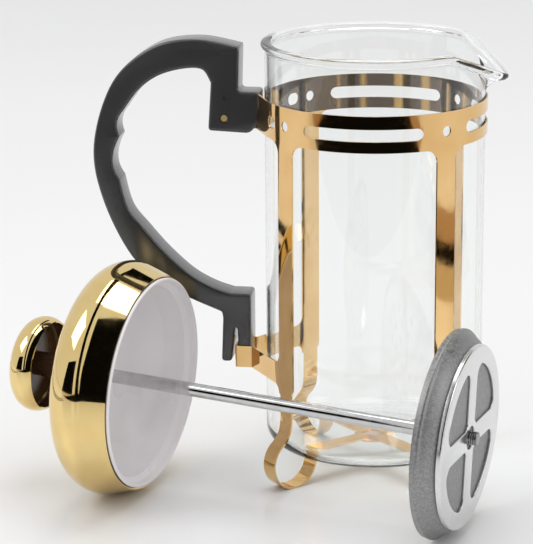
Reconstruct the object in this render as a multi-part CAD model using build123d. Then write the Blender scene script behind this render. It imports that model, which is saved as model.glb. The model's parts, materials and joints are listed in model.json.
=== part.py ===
from build123d import *
import os
from math import atan, cos, degrees, radians, sin, sqrt

# A one-litre french press. The pot stands upright: its axis is Z, the surface it stands on is z = 0,
# the spout points along +X and the handle along -X. The plunger lies in front of it on the same
# surface, on the rims of its lid and its mesh. All sizes are in millimetres.

# ---- Clearances ----
loose_gap = 0.3          # between bodies that move past each other
seat_gap = 0.1           # between pieces that are clamped or dropped together
running_gap = 0.08       # radial, between the rod and its guide
thread_gap = 0.05        # radial, between the rod's threaded end and the filter screwed on it
cut_past = 10.0          # how far a cutter runs past the face it cuts

# ---- Beaker ----
beaker_radius = 49.0
beaker_wall = 1.6
beaker_floor = 2.6
beaker_rim_z = 198.4
beaker_corner = 8.0      # outer radius between the wall and the floor
rim_bead = 1.8           # how far the bead stands out of the wall
rim_bead_height = 2.6
spout_tip_x = 60.4
spout_tip_z = 183.5
spout_root_z = 175.0
spout_half_angle = 40.0
spout_tip_radius = 3.0
spout_root_reach = 1.0   # the spout's root, measured from the beaker's outside
spout_root_depth = 5.0
spout_root_half_width = 5.0
spout_skew = 1.6         # shift along X for each millimetre of wall, as the spout's sides slant

# ---- Frame ----
sheet = 0.8
band_height = 16.0
band_top_z = 174.1
slot_height = 5.4
slot_half_angle = 31.5
slot_below = 4.9         # metal left under each slot
vent_diameter = 4.6
vent_angles = (45.0, -45.0, 135.0, -135.0)
band_end_angle = 156.0   # where the ring turns outwards to the handle
short_slot_start_angle = 143.5
short_slot_end_angle = 152.5
leg_width = 10.0
leg_neck_width = 8.0
leg_neck_z = 44.0
leg_neck_taper = 2.0
leg_fillet = 5.5
leg_angles = {"front_left": -135.0, "front_right": -45.0, "back_right": 45.0, "back_left": 135.0}
foot_loop_radius = 11.5
foot_loop_offset = 2.2   # how far the loop's centre lies inside the leg
foot_bend_radius = 12.0
foot_flat = 0.2          # depth of the flat pressed under each loop
strap_bend_radius = 1.5
strap_end_gap = 0.2      # from each strap's end to the square between the four
cross_disc_radius = 9.0
rivet_radius = 1.5
rivet_head_radius = 3.0
rivet_head_height = 0.6

# ---- Handle: each reach is how far a point lies outside the frame's ring, towards -X ----
handle_thickness = 14.0
block_face_reach = 1.1   # the face towards the beaker
block_far_reach = 23.9
block_step_reach = 10.5
block_bottom_z = 156.0
block_top_z = 174.9
lower_block_near_reach = 5.5
lower_block_far_reach = 18.5
lower_block_bottom_z = 49.0
lower_block_top_z = 81.5
slit_reach = 12.4
slit_width = 1.4
slit_mouth = 1.4         # extra width of the slit at its mouth
slit_top_z = 65.0
handle_edge = 0.6        # chamfer round both sides
block_corner = 4.5       # cut corner under the upper block
block_lean = 0.4
block_rise = 0.8
lower_block_lean = 0.8

# ---- Clamp at the handle's upper block ----
clamp_screw_reach = 16.9
clamp_screw_z = 162.6
clamp_screw_radius = 1.5
clamp_head_radius = 2.8
clamp_head_height = 1.8
clamp_screw_short = 0.4  # how far the screw's end lies inside the handle's side
drive_length = 5.0
drive_width = 0.8
drive_depth = 0.8
clamp_nut_across = 5.5
clamp_nut_height = 2.4
clamp_tab_y = 4.6
clamp_tab_height = 10.0
clamp_tab_end_reach = 20.4
clamp_bend = 1.6

# ---- Collar round the handle's lower block ----
collar_height = 10.0
collar_bottom_z = 47.0
collar_leave_angle = 146.0
collar_fillet = 4.0
collar_bend = 0.8
collar_end_y = 0.3       # where each strip ends inside the slit

# ---- Plunger, drawn along its own axis: 0 is the liner's rim, the knob is up, the mesh is down ----
dome_edge_inset = 9.0    # from the liner's plug in to the ring that the dome's rounded edge turns about
dome_round = 14.6
dome_round_z = 16.5
dome_sheet = 0.8
dome_top_z = 34.0
dome_overhang = 0.9      # how far the dome's lower edge lies outside the liner's plug
dome_lower_angle = -20.0 # where the rounded edge runs out into the lower wall
liner_gap = 0.4          # between the liner's plug and the beaker's bore
liner_wall = 1.6
liner_depth = 31.0
liner_shoulder = 4.0
liner_flat_radius = 10.0
bowl_middle = 0.66       # a point on the bowl, as a share of its radius
bowl_middle_drop = 3.2
lid_seat_z = 1.2         # the dome's lower edge, which sits on the beaker's rim

rod_radius = 3.1
rod_top_z = 60.0
guide_wall = 2.0
guide_flange_radius = 9.0
guide_flange = 1.6
guide_nut_across = 14.0
guide_nut_height = 3.0

knob_edge_radius = 13.4
knob_round = 8.2
knob_round_z = 56.3
knob_sheet = 0.7
knob_crown_radius = 110.0
knob_stem_radius = 5.5
knob_recess_z = 58.0
knob_core_wall = 1.2
knob_curl_angle = -38.0  # where the rounded edge ends underneath
knob_core_angle = -20.0  # where the core's rim meets the shell
knob_core_lean = 0.3
knob_core_side = 3.4
knob_core_cap = 2.0

filter_plane_z = -137.6  # the mesh's outer rim
mesh_gap = 2.1           # radial, between the mesh's rim and the beaker's bore
mesh_sheet = 0.6
mesh_fold = 2.4
mesh_taper = 0.4
mesh_corner = 0.5
cross_inset = 5.5        # from the mesh's rim in to the cross plate's edge
cross_offset = 9.3       # from the mesh's rim to the cross plate's face
cross_sheet = 1.0
cross_lip = 2.4
cross_spoke = 9.0
cross_window_inner = 8.0
cross_window_inset = 7.8
cross_window_round = 1.2 # at the corners near the middle
cross_petal_round = 5.0  # at the outer corners
cross_edge_round = 0.7
spring_inset = 3.65      # from the mesh's rim in to the middle of the spring's wire coil
spring_wire_radius = 1.9
spring_lift = 0.2        # from the mesh's rim to the middle of the spring's coil
spring_plate_inset = 4.3
spring_plate_sheet = 0.8
spring_plate_hole = 5.0
spring_plate_skirt = 7.2
spring_plate_gap = 0.1
skirt_overlap = 0.4
spring_plate_rings = ((14.0, 8), (22.0, 12), (30.0, 18))
hub_radius = 5.0
hub_height = 4.0
rod_end = 3.2            # how far the threaded end stands through the cross plate

# ---- Where the plunger lies ----
plunger_reach = 41.3     # how far its lid lies outside the frame's ring, towards -X
plunger_overlap = 51.0   # how far, along Y, its mesh, the frame's ring and half the handle overlap
plunger_heading = -13.44

# ---- Sizes that follow from the ones above ----
beaker_bore = beaker_radius - beaker_wall
ring_inner = beaker_radius + loose_gap
ring_outer = ring_inner + sheet
ring_middle = ring_inner + sheet / 2
band_bottom_z = band_top_z - band_height
slot_middle_z = band_bottom_z + slot_below + slot_height / 2
foot_centre_r = ring_middle - foot_loop_offset
foot_centre_z = foot_loop_radius + sheet / 2 - foot_flat
strap_top_z = foot_centre_z + strap_bend_radius + sheet / 2
liner_radius = beaker_bore - liner_gap
dome_edge_radius = liner_radius - dome_edge_inset
mesh_radius = beaker_bore - mesh_gap
cross_radius = mesh_radius - cross_inset
cross_window_outer = cross_radius - cross_window_inset
spring_ring_radius = mesh_radius - spring_inset
spring_plate_radius = mesh_radius - spring_plate_inset
guide_radius = rod_radius + running_gap + guide_wall
cross_face_z = filter_plane_z - cross_offset
half_handle = handle_thickness / 2
plunger_x = -ring_outer - plunger_reach
plunger_y = plunger_overlap - ring_outer - mesh_radius - half_handle
block_face_x = -ring_outer - block_face_reach
slit_x = -ring_outer - slit_reach
clamp_screw_x = -ring_outer - clamp_screw_reach
clamp_tab_end_x = -ring_outer - clamp_tab_end_reach


def ring_section(inner, outer, low, high):
    """A plain ring about Z."""
    tube = Cylinder(outer, high - low, align=(Align.CENTER, Align.CENTER, Align.MIN))
    bore = Cylinder(inner, high - low, align=(Align.CENTER, Align.CENTER, Align.MIN))
    return Pos(0, 0, low) * (tube - bore)


def disc(radius, low, high):
    """A plain disc about Z."""
    return Pos(0, 0, low) * Cylinder(radius, high - low, align=(Align.CENTER, Align.CENTER, Align.MIN))


def turned(*edges):
    """A solid of revolution about Z from edges drawn in the XZ plane."""
    return revolve(make_face(Wire(list(edges))), Axis.Z)


def prism_y(face, thickness):
    """A face of the XZ plane made into a plate of this thickness, centred on y = 0."""
    return extrude(face, thickness / 2, both=True)


def outline_xz(*points):
    """A closed polygon in the XZ plane."""
    corners = [(x, 0, z) for x, z in points]
    return make_face(Polyline(*corners, close=True))


# ---------------------------------------------------------------- beaker

def spout_section(z, tip_x, back_x, half_width):
    """A triangle with a rounded tip, at height z."""
    face = make_face(Polyline((back_x, -half_width), (tip_x, 0), (back_x, half_width), close=True))
    tip = face.vertices().sort_by(Axis.X)[-1]
    return Pos(0, 0, z) * fillet(tip, spout_tip_radius)


def spout_wedge():
    """The outside of the spout, from its root up to the height of the rim."""
    slope = (spout_tip_x - beaker_radius) / (spout_tip_z - spout_root_z)
    top_tip_x = beaker_radius + slope * (beaker_rim_z - spout_root_z)
    top_back_x = beaker_radius * cos(radians(spout_half_angle))
    top_half_width = beaker_radius * sin(radians(spout_half_angle))
    root_tip_x = beaker_radius + spout_root_reach
    root_back_x = beaker_radius - spout_root_depth
    root = spout_section(spout_root_z, root_tip_x, root_back_x, spout_root_half_width)
    top = spout_section(beaker_rim_z, top_tip_x, top_back_x, top_half_width)
    return loft([root.face(), top.face()], ruled=True)


def below_rim(drop):
    """Everything under the rim: level all round, and sloping down along the spout."""
    start_x = beaker_radius * cos(radians(spout_half_angle))
    slope = (spout_tip_z - beaker_rim_z) / (spout_tip_x - start_x)
    far_x = spout_tip_x + cut_past
    back_x = -beaker_radius - cut_past
    top = beaker_rim_z - drop
    side = outline_xz(
        (back_x, 0), (far_x, 0), (far_x, top + slope * (far_x - start_x)), (start_x, top), (back_x, top)
    )
    return prism_y(side, 2 * far_x)


def make_beaker():
    """Borosilicate beaker with a rounded base, a beaded rim and a pouring spout."""
    body = disc(beaker_radius, strap_top_z, beaker_rim_z)
    body = fillet(body.edges().sort_by(Axis.Z)[0], beaker_corner)
    bore = disc(beaker_bore, strap_top_z + beaker_floor, beaker_rim_z + 1)
    bore = fillet(bore.edges().sort_by(Axis.Z)[0], beaker_corner - beaker_wall)
    wedge = spout_wedge()
    hollow = bore + Pos(-spout_skew * beaker_wall, 0, 0) * wedge
    bead = disc(beaker_radius + rim_bead, band_top_z, beaker_rim_z)
    bead = bead + Pos(spout_skew * rim_bead, 0, 0) * wedge
    bead = (bead & below_rim(0)) - below_rim(rim_bead_height)
    return ((body + wedge) & below_rim(0)) + bead - hollow


# ---------------------------------------------------------------- frame

def radial_slot(angle, length, height, z):
    """A round-ended slot cut straight outwards through the ring at this angle."""
    if length > height:
        face = SlotOverall(length, height)
    else:
        face = Circle(height / 2)
    cutter = extrude(Plane.YZ * face, ring_outer + cut_past)
    return Rot(0, 0, angle) * (Pos(0, 0, z) * cutter)


def band_corners(side):
    """Where the band leaves the ring, where it turns along the handle's block, and where it ends."""
    end_angle = radians(band_end_angle)
    start = (ring_middle * cos(end_angle), side * ring_middle * sin(end_angle))
    reach = (side * clamp_tab_y - start[1]) / (side * cos(end_angle))
    corner = (start[0] - reach * sin(end_angle), side * clamp_tab_y)
    return start, corner, (clamp_tab_end_x, side * clamp_tab_y)


def strip_along(path, height, thickness):
    """A flat strip standing on edge along a path, centred on z = 0."""
    plane = Plane(origin=path @ 0, z_dir=path % 0, x_dir=(0, 0, 1))
    return sweep(plane * Rectangle(height, thickness), path=path)


def clamp_tab(side, height, thickness):
    """The part of the band's end that runs towards and into the handle's block."""
    path = FilletPolyline(*band_corners(side), radius=clamp_bend)
    return Pos(0, 0, clamp_screw_z) * strip_along(path, height, thickness)


def make_band():
    """Ring round the beaker with three long slots, vents over the legs, and two clamp ends."""
    left_start, left_corner, left_end = band_corners(1)
    right_start, right_corner, right_end = band_corners(-1)
    first = FilletPolyline(left_end, left_corner, left_start, radius=clamp_bend)
    ring = ThreePointArc(left_start, (ring_middle, 0), right_start)
    last = FilletPolyline(right_start, right_corner, right_end, radius=clamp_bend)
    path = Wire(list(first.edges()) + [ring] + list(last.edges()))
    band = Pos(0, 0, band_bottom_z + band_height / 2) * strip_along(path, band_height, sheet)
    trim = Box(beaker_radius, beaker_radius, band_height, align=(Align.MAX, Align.CENTER, Align.MIN))
    trim_x = block_face_x + loose_gap
    band -= Pos(trim_x, 0, clamp_screw_z + clamp_tab_height / 2) * trim
    band -= Pos(trim_x, 0, clamp_screw_z - clamp_tab_height / 2 - band_height) * trim
    long_slot = 2 * ring_middle * sin(radians(slot_half_angle))
    for angle in (0, 90, -90):
        band -= radial_slot(angle, long_slot, slot_height, slot_middle_z)
    half_short = radians((short_slot_end_angle - short_slot_start_angle) / 2)
    short_slot = 2 * ring_middle * sin(half_short)
    short_angle = (short_slot_start_angle + short_slot_end_angle) / 2
    for angle in (short_angle, -short_angle):
        band -= radial_slot(angle, short_slot, slot_height, slot_middle_z)
    for angle in vent_angles:
        band -= radial_slot(angle, vent_diameter, vent_diameter, slot_middle_z)
    screw_hole = Rot(90, 0, 0) * Cylinder(clamp_screw_radius + seat_gap, 4 * clamp_tab_y)
    return band - Pos(clamp_screw_x, 0, clamp_screw_z) * screw_hole


def leg_outline():
    """The flat shape of a leg's upright part, in the YZ plane, with flared corners at the band."""
    wide = leg_width / 2
    narrow = leg_neck_width / 2
    top = band_bottom_z
    bottom = foot_bend_centre_z()
    flare = wide + leg_fillet
    right = [
        Line((0, narrow, bottom), (0, narrow, leg_neck_z)),
        Line((0, narrow, leg_neck_z), (0, wide, leg_neck_z + leg_neck_taper)),
        Line((0, wide, leg_neck_z + leg_neck_taper), (0, wide, top - leg_fillet)),
        ThreePointArc(
            (0, wide, top - leg_fillet),
            (0, flare - leg_fillet * cos(radians(45)), top - leg_fillet * (1 - sin(radians(45)))),
            (0, flare, top),
        ),
    ]
    left = [edge.mirror(Plane.XZ) for edge in right]
    closing = [Line((0, flare, top), (0, -flare, top)), Line((0, -narrow, bottom), (0, narrow, bottom))]
    return make_face(Wire(right + left + closing))


def foot_bend_centre_z():
    """Height at which the leg starts to bend outwards, so that the bend runs into the loop."""
    across = foot_loop_offset + foot_bend_radius
    reach = foot_loop_radius + foot_bend_radius
    return foot_centre_z + sqrt(reach**2 - across**2)


def foot_path():
    """Middle line of the foot: out from the leg, round the loop and in under the beaker."""
    start_z = foot_bend_centre_z()
    bend_x = ring_middle + foot_bend_radius
    reach = foot_loop_radius + foot_bend_radius
    join_x = foot_centre_r + (bend_x - foot_centre_r) * foot_loop_radius / reach
    join_z = foot_centre_z + (start_z - foot_centre_z) * foot_loop_radius / reach
    inner_x = foot_centre_r - foot_loop_radius
    half_x = bend_x - foot_bend_radius * cos(radians(30))
    half_z = start_z - foot_bend_radius * sin(radians(30))
    strap_z = strap_top_z - sheet / 2
    turn = strap_bend_radius
    bend = ThreePointArc((ring_middle, 0, start_z), (half_x, 0, half_z), (join_x, 0, join_z))
    loop = ThreePointArc(
        (join_x, 0, join_z),
        (foot_centre_r + foot_loop_radius * sin(radians(30)), 0,
         foot_centre_z - foot_loop_radius * cos(radians(30))),
        (inner_x, 0, foot_centre_z),
    )
    corner = ThreePointArc(
        (inner_x, 0, foot_centre_z),
        (inner_x - turn * (1 - cos(radians(45))), 0, foot_centre_z + turn * sin(radians(45))),
        (inner_x - turn, 0, strap_z),
    )
    strap = Line((inner_x - turn, 0, strap_z), (leg_neck_width / 2 + strap_end_gap, 0, strap_z))
    return Wire([bend, loop, corner, strap])


def make_leg(angle):
    """One leg: an upright strip under the band, a rolled foot and a strap under the beaker."""
    upright = extrude(leg_outline(), ring_outer + cut_past)
    upright &= ring_section(ring_inner, ring_outer, 0, band_bottom_z)
    path = foot_path()
    start = Plane(origin=path @ 0, z_dir=path % 0, x_dir=(0, 1, 0))
    foot = sweep(start * Rectangle(leg_neck_width, sheet), path=path)
    foot -= Box(4 * ring_outer, leg_width, cut_past, align=(Align.CENTER, Align.CENTER, Align.MAX))
    return Rot(0, 0, angle) * (upright + foot)


def collar_strip(side):
    """Strip from a rear leg to the handle's lower block, hooked through the block's slit."""
    first = radians(180 - abs(leg_angles["back_left"]) - degrees(leg_width / 2 / ring_middle))
    last = radians(180 - collar_leave_angle)
    middle = (first + last) / 2
    on_ring = [(-ring_middle * cos(a), side * ring_middle * sin(a), 0) for a in (first, middle, last)]
    face_y = side * (half_handle + seat_gap + sheet / 2)
    tangent = (-sin(last), -side * cos(last))
    reach = (face_y - on_ring[2][1]) / tangent[1]
    corner = (on_ring[2][0] + reach * tangent[0], face_y, 0)
    arc = ThreePointArc(*on_ring)
    rest = FilletPolyline(
        on_ring[2], corner, (slit_x, face_y, 0), (slit_x, side * collar_end_y, 0), radius=collar_bend
    )
    path = Wire([arc] + list(rest.edges()))
    return Pos(0, 0, collar_bottom_z + collar_height / 2) * strip_along(path, collar_height, sheet)


def collar_web(side):
    """Rounded corners where the collar's strip meets a rear leg."""
    reach = leg_width / 2 + collar_fillet
    low = collar_bottom_z - collar_fillet
    high = collar_bottom_z + collar_height + collar_fillet
    face = Pos(0, low) * Rectangle(reach, high - low, align=(Align.MIN, Align.MIN))
    for z in (low, high):
        face -= Pos(reach, z) * Circle(collar_fillet)
    web = extrude(Plane.YZ * face, ring_outer + cut_past)
    web &= ring_section(ring_inner, ring_outer, low, high)
    if side < 0:
        web = mirror(web, Plane.XZ)
    return Rot(0, 0, side * leg_angles["back_left"]) * web


def make_cross_disc():
    """Small disc under the middle of the straps, with a hole for the rivet."""
    top = strap_top_z - sheet
    return disc(cross_disc_radius, top - sheet, top) - disc(rivet_radius, top - 2 * sheet, top + sheet)


def make_base_rivet():
    """Rivet through the disc, between the ends of the four straps."""
    top = strap_top_z - sheet
    shank = disc(rivet_radius, top - sheet, top)
    upper = disc(rivet_head_radius, top, top + rivet_head_height)
    lower = disc(rivet_head_radius, top - sheet - rivet_head_height, top - sheet)
    return shank + upper + lower


# ---------------------------------------------------------------- handle and clamp

def beyond_ring(*points):
    """Points of the XZ plane from their reach outside the frame's ring and their height."""
    return [(-ring_outer - reach, 0, z) for reach, z in points]


def handle_outline():
    """Side view of the handle: a bow with finger scallops between an upper and a lower block."""
    top_near = (9.9, 195.0)
    knee = (18.9, 72.4)
    inner_low = (14.9, lower_block_top_z)
    inner_top = (22.9, 178.5)
    bow = Spline(*beyond_ring(
        top_near, (29.9, 198.1), (49.9, 193.8), (67.8, 177.6), (77.0, 149.0),
        (73.3, 123.5), (60.1, 96.8), (42.9, 82.8), knee,
    ))
    lower = Polyline(*beyond_ring(
        knee, (lower_block_far_reach, 69.5), (lower_block_far_reach + lower_block_lean, lower_block_bottom_z),
        (slit_reach, lower_block_bottom_z), (lower_block_near_reach, lower_block_bottom_z),
        (lower_block_near_reach, lower_block_top_z), inner_low,
    ))
    ridges = ((65.3, 133.2), (64.9, 152.8), (63.1, 164.6))
    hollows = ((68.3, 142.0), (65.9, 158.9))
    grip = [ThreePointArc(*beyond_ring(ridges[i], hollows[i], ridges[i + 1])) for i in range(2)]
    below = Spline(*beyond_ring(
        inner_low, (23.9, 84.4), (33.9, 89.9), (44.9, 99.7), (53.9, 109.8), (61.5, 119.4), ridges[0],
    ))
    above = Spline(*beyond_ring(
        ridges[2], (55.7, 174.5), (46.9, 181.0), (35.9, 184.4), (26.9, 184.4), inner_top,
    ))
    upper = Polyline(*beyond_ring(
        inner_top, (block_far_reach + block_lean, block_bottom_z + block_rise),
        (block_face_reach + block_corner, block_bottom_z),
        (block_face_reach, block_bottom_z + block_corner), (block_face_reach, block_top_z),
        (block_step_reach, block_top_z), top_near,
    ))
    edges = list(lower.edges()) + [below] + grip + [above] + list(upper.edges()) + [bow]
    return make_face(Wire(edges))


def make_handle():
    """Moulded handle with slots for the band's clamp tabs, a nut pocket and a slit for the collar."""
    handle = prism_y(handle_outline(), handle_thickness)
    rims = handle.faces().sort_by(Axis.Y)
    handle = chamfer(rims[0].edges() + rims[-1].edges(), handle_edge)
    for side in (1, -1):
        handle -= clamp_tab(side, clamp_tab_height + 2 * seat_gap, sheet + 2 * seat_gap)
    bore = Rot(90, 0, 0) * Cylinder(clamp_screw_radius + seat_gap, handle_thickness + cut_past)
    handle -= Pos(clamp_screw_x, 0, clamp_screw_z) * bore
    head_pocket = Rot(-90, 0, 0) * Cylinder(
        clamp_head_radius + seat_gap, cut_past, align=(Align.CENTER, Align.CENTER, Align.MIN)
    )
    handle -= Pos(clamp_screw_x, half_handle - clamp_head_height, clamp_screw_z) * head_pocket
    nut_pocket = Box(
        clamp_nut_across + 2 * seat_gap,
        clamp_nut_height + 2 * seat_gap,
        clamp_screw_z - block_bottom_z + cut_past,
        align=(Align.CENTER, Align.CENTER, Align.MAX),
    )
    handle -= Pos(clamp_screw_x, 0, clamp_screw_z + clamp_nut_across / sqrt(3)) * nut_pocket
    slit = outline_xz(
        (slit_x - slit_width / 2, slit_top_z), (slit_x + slit_width / 2, slit_top_z),
        (slit_x + slit_width / 2, lower_block_bottom_z - slit_mouth),
        (slit_x - slit_width / 2 - slit_mouth, lower_block_bottom_z - slit_mouth),
    )
    return handle - prism_y(slit, handle_thickness + cut_past)


def make_clamp_screw():
    """Screw across the upper block, with its head in the far side's pocket."""
    length = handle_thickness - clamp_head_height - clamp_screw_short
    shank = Cylinder(clamp_screw_radius, length, align=(Align.CENTER, Align.CENTER, Align.MAX))
    head = Cylinder(clamp_head_radius, clamp_head_height, align=(Align.CENTER, Align.CENTER, Align.MIN))
    drive = Pos(0, 0, clamp_head_height) * Box(drive_length, drive_width, 2 * drive_depth)
    screw = Rot(-90, 0, 0) * (shank + head - drive)
    return Pos(clamp_screw_x, half_handle - clamp_head_height, clamp_screw_z) * screw


def make_clamp_nut():
    """Hexagon nut in the pocket between the two clamp tabs."""
    nut = extrude(RegularPolygon(clamp_nut_across / sqrt(3), 6), clamp_nut_height / 2, both=True)
    nut -= Cylinder(clamp_screw_radius, 2 * clamp_nut_height)
    return Pos(clamp_screw_x, 0, clamp_screw_z) * (Rot(90, 0, 0) * (Rot(0, 0, 30) * nut))


# ---------------------------------------------------------------- plunger, along its own axis

def arc_xz(centre, radius, start, end):
    """Arc in the XZ plane about a centre, by its end angles in degrees."""
    def at(angle):
        return (centre[0] + radius * cos(radians(angle)), 0, centre[1] + radius * sin(radians(angle)))
    return ThreePointArc(at(start), at((start + end) / 2), at(end))


def dome_skin(inset):
    """Rounded edge and lower wall of the dome, from its lower edge to the top, this far inside it."""
    edge = arc_xz((dome_edge_radius, dome_round_z), dome_round - inset, dome_lower_angle, 90)
    slope = radians(dome_lower_angle)
    foot = (liner_radius + dome_overhang - inset * cos(slope), 0, lid_seat_z - inset * sin(slope))
    wall = TangentArc(edge @ 0, foot, tangent=-(edge % 0))
    return wall, edge


def make_lid_dome():
    """Spun metal dome with a deeply rounded edge."""
    wall_out, outer = dome_skin(0)
    wall_in, inner = dome_skin(dome_sheet)
    top_out = Line(outer @ 1, (guide_radius, 0, dome_top_z))
    top_in = Line(inner @ 1, (guide_radius, 0, dome_top_z - dome_sheet))
    bore = Line(top_out @ 1, top_in @ 1)
    return turned(wall_out, outer, top_out, bore, top_in, inner, wall_in, Line(wall_in @ 1, wall_out @ 1))


def make_lid_liner():
    """Moulded liner: a plug that fits in the beaker's mouth, with a bowl behind it."""
    lip = liner_wall / 2
    shoulder_z = lid_seat_z - seat_gap
    bowl_r = liner_radius - liner_shoulder
    outside = [
        Line((liner_radius, 0, lip), (liner_radius, 0, shoulder_z)),
        Line((liner_radius, 0, shoulder_z), (bowl_r, 0, shoulder_z + liner_shoulder)),
        ThreePointArc(
            (bowl_r, 0, shoulder_z + liner_shoulder),
            (bowl_middle * bowl_r, 0, liner_depth - bowl_middle_drop),
            (liner_flat_radius, 0, liner_depth),
        ),
        Line((liner_flat_radius, 0, liner_depth), (guide_radius, 0, liner_depth)),
    ]
    inside = [
        Line((guide_radius, 0, liner_depth), (guide_radius, 0, liner_depth - liner_wall)),
        Line((guide_radius, 0, liner_depth - liner_wall),
             (liner_flat_radius, 0, liner_depth - liner_wall)),
        ThreePointArc(
            (liner_flat_radius, 0, liner_depth - liner_wall),
            (bowl_middle * bowl_r - liner_wall / 2, 0, liner_depth - bowl_middle_drop - liner_wall),
            (liner_radius - liner_wall, 0, lip),
        ),
        ThreePointArc(
            (liner_radius - liner_wall, 0, lip), (liner_radius - lip, 0, 0), (liner_radius, 0, lip)
        ),
    ]
    return turned(*outside, *inside)


def make_rod_guide():
    """Flanged bush through the dome and the liner, which the rod slides in."""
    low = liner_depth - liner_wall - guide_nut_height
    bush = disc(guide_radius, low, dome_top_z) + disc(
        guide_flange_radius, dome_top_z, dome_top_z + guide_flange
    )
    bush = fillet(bush.edges().sort_by(Axis.Z)[-1], guide_flange / 2)
    return bush - disc(rod_radius + running_gap, low - cut_past, dome_top_z + cut_past)


def make_guide_nut():
    """Nut that holds the guide, the liner and the dome together from inside the bowl."""
    top = liner_depth - liner_wall
    nut = extrude(RegularPolygon(guide_nut_across / sqrt(3), 6), guide_nut_height)
    return Pos(0, 0, top - guide_nut_height) * nut - disc(guide_radius, 0, top)


def make_knob_shell():
    """Spun knob cap with a slightly domed top, open underneath."""
    centre = (knob_edge_radius, knob_round_z)
    edge_z = knob_round_z + knob_round
    crown = (0, edge_z - sqrt(knob_crown_radius**2 - knob_edge_radius**2))
    half_crown = degrees(atan(knob_edge_radius / (edge_z - crown[1])))
    outer = arc_xz(centre, knob_round, knob_curl_angle, 90)
    inner = arc_xz(centre, knob_round - knob_sheet, knob_curl_angle, 90)
    top_out = arc_xz(crown, knob_crown_radius, 90 - half_crown, 90)
    top_in = Pos(0, 0, -knob_sheet) * top_out
    return turned(
        outer, top_out, Line(top_out @ 1, top_in @ 1), top_in, inner, Line(inner @ 0, outer @ 0)
    )


def make_knob_core():
    """Moulded core pressed into the knob's cap and screwed on the rod."""
    rim_r = knob_edge_radius + (knob_round - knob_sheet) * cos(radians(knob_core_angle))
    rim_z = knob_round_z + (knob_round - knob_sheet) * sin(radians(knob_core_angle))
    stop = dome_top_z + guide_flange
    core_r = rim_r - knob_core_wall
    profile = Polyline(
        (rod_radius, 0, stop), (knob_stem_radius, 0, stop), (knob_stem_radius, 0, knob_recess_z),
        (core_r, 0, knob_recess_z), (rim_r, 0, rim_z), (rim_r - knob_core_lean, 0, rim_z + knob_core_side),
        (knob_edge_radius, 0, rod_top_z), (0, 0, rod_top_z + knob_core_cap), (0, 0, rod_top_z),
        (rod_radius, 0, rod_top_z), close=True,
    )
    return revolve(make_face(profile), Axis.Z)


def make_rod():
    """Polished rod from the knob to the cross plate."""
    return disc(rod_radius, cross_face_z - rod_end, rod_top_z)


def make_cross_plate():
    """Pressed bottom plate with four windows and a turned-up edge."""
    face_z = cross_face_z
    plate = disc(cross_radius, face_z, face_z + cross_sheet)
    edge = ring_section(cross_radius - cross_sheet, cross_radius, face_z, face_z + cross_lip)
    plate = plate + edge
    outer_edge = plate.edges().filter_by(GeomType.CIRCLE).group_by(Axis.Z)[0].sort_by(SortBy.RADIUS)[-1]
    plate = fillet(outer_edge, cross_edge_round)
    window = Circle(cross_window_outer) - Circle(cross_window_inner)
    quadrant = Pos(cross_spoke / 2, cross_spoke / 2) * Rectangle(
        cross_radius, cross_radius, align=(Align.MIN, Align.MIN)
    )
    window = window & quadrant
    corners = window.vertices().sort_by(lambda corner: corner.X**2 + corner.Y**2)
    window = fillet(corners[:2], cross_window_round)
    corners = window.vertices().sort_by(lambda corner: corner.X**2 + corner.Y**2)
    window = fillet(corners[-2:], cross_petal_round)
    for turn in range(4):
        cutter = Pos(0, 0, face_z - cross_sheet) * extrude(Rot(0, 0, 90 * turn) * window, 3 * cross_sheet)
        plate -= cutter
    return plate - disc(rod_radius + thread_gap, face_z - cross_sheet, face_z + 2 * cross_sheet)


def make_hub():
    """Threaded hub behind the cross plate, which the rod's end is screwed through."""
    low = cross_face_z + cross_sheet + mesh_sheet
    return ring_section(rod_radius + thread_gap, hub_radius, low, low + hub_height)


def make_mesh_screen():
    """Woven disc behind the cross plate, folded forward round the spring."""
    face_z = cross_face_z + cross_sheet
    flat_r = cross_radius - cross_sheet - seat_gap
    inner_flat = flat_r - mesh_sheet / 2
    bore = rod_radius + thread_gap
    top_r = mesh_radius - mesh_taper
    rim_z = filter_plane_z
    fold_z = rim_z + mesh_fold
    low_edge = cross_face_z + cross_lip + seat_gap
    outside = [
        Line((bore, 0, face_z), (flat_r, 0, face_z)),
        Line((flat_r, 0, face_z), (flat_r, 0, low_edge)),
        Line((flat_r, 0, low_edge), (mesh_radius, 0, rim_z)),
        Line((mesh_radius, 0, rim_z), (top_r, 0, fold_z)),
        Line((top_r, 0, fold_z), (top_r - mesh_sheet, 0, fold_z)),
    ]
    inside = [
        Line((top_r - mesh_sheet, 0, fold_z), (mesh_radius - mesh_sheet, 0, rim_z + mesh_corner)),
        Line((mesh_radius - mesh_sheet, 0, rim_z + mesh_corner), (inner_flat, 0, low_edge + mesh_sheet)),
        Line((inner_flat, 0, low_edge + mesh_sheet), (inner_flat - mesh_sheet, 0, face_z + mesh_sheet)),
        Line((inner_flat - mesh_sheet, 0, face_z + mesh_sheet), (bore, 0, face_z + mesh_sheet)),
        Line((bore, 0, face_z + mesh_sheet), (bore, 0, face_z)),
    ]
    return turned(*outside, *inside)


def spring_centre_z():
    """Height of the spring's ring, resting in the mesh's fold."""
    return filter_plane_z + spring_lift


def make_filter_spring():
    """Outer shape of the coil that presses the mesh against the beaker's wall."""
    return Pos(0, 0, spring_centre_z()) * Torus(spring_ring_radius, spring_wire_radius)


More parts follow.
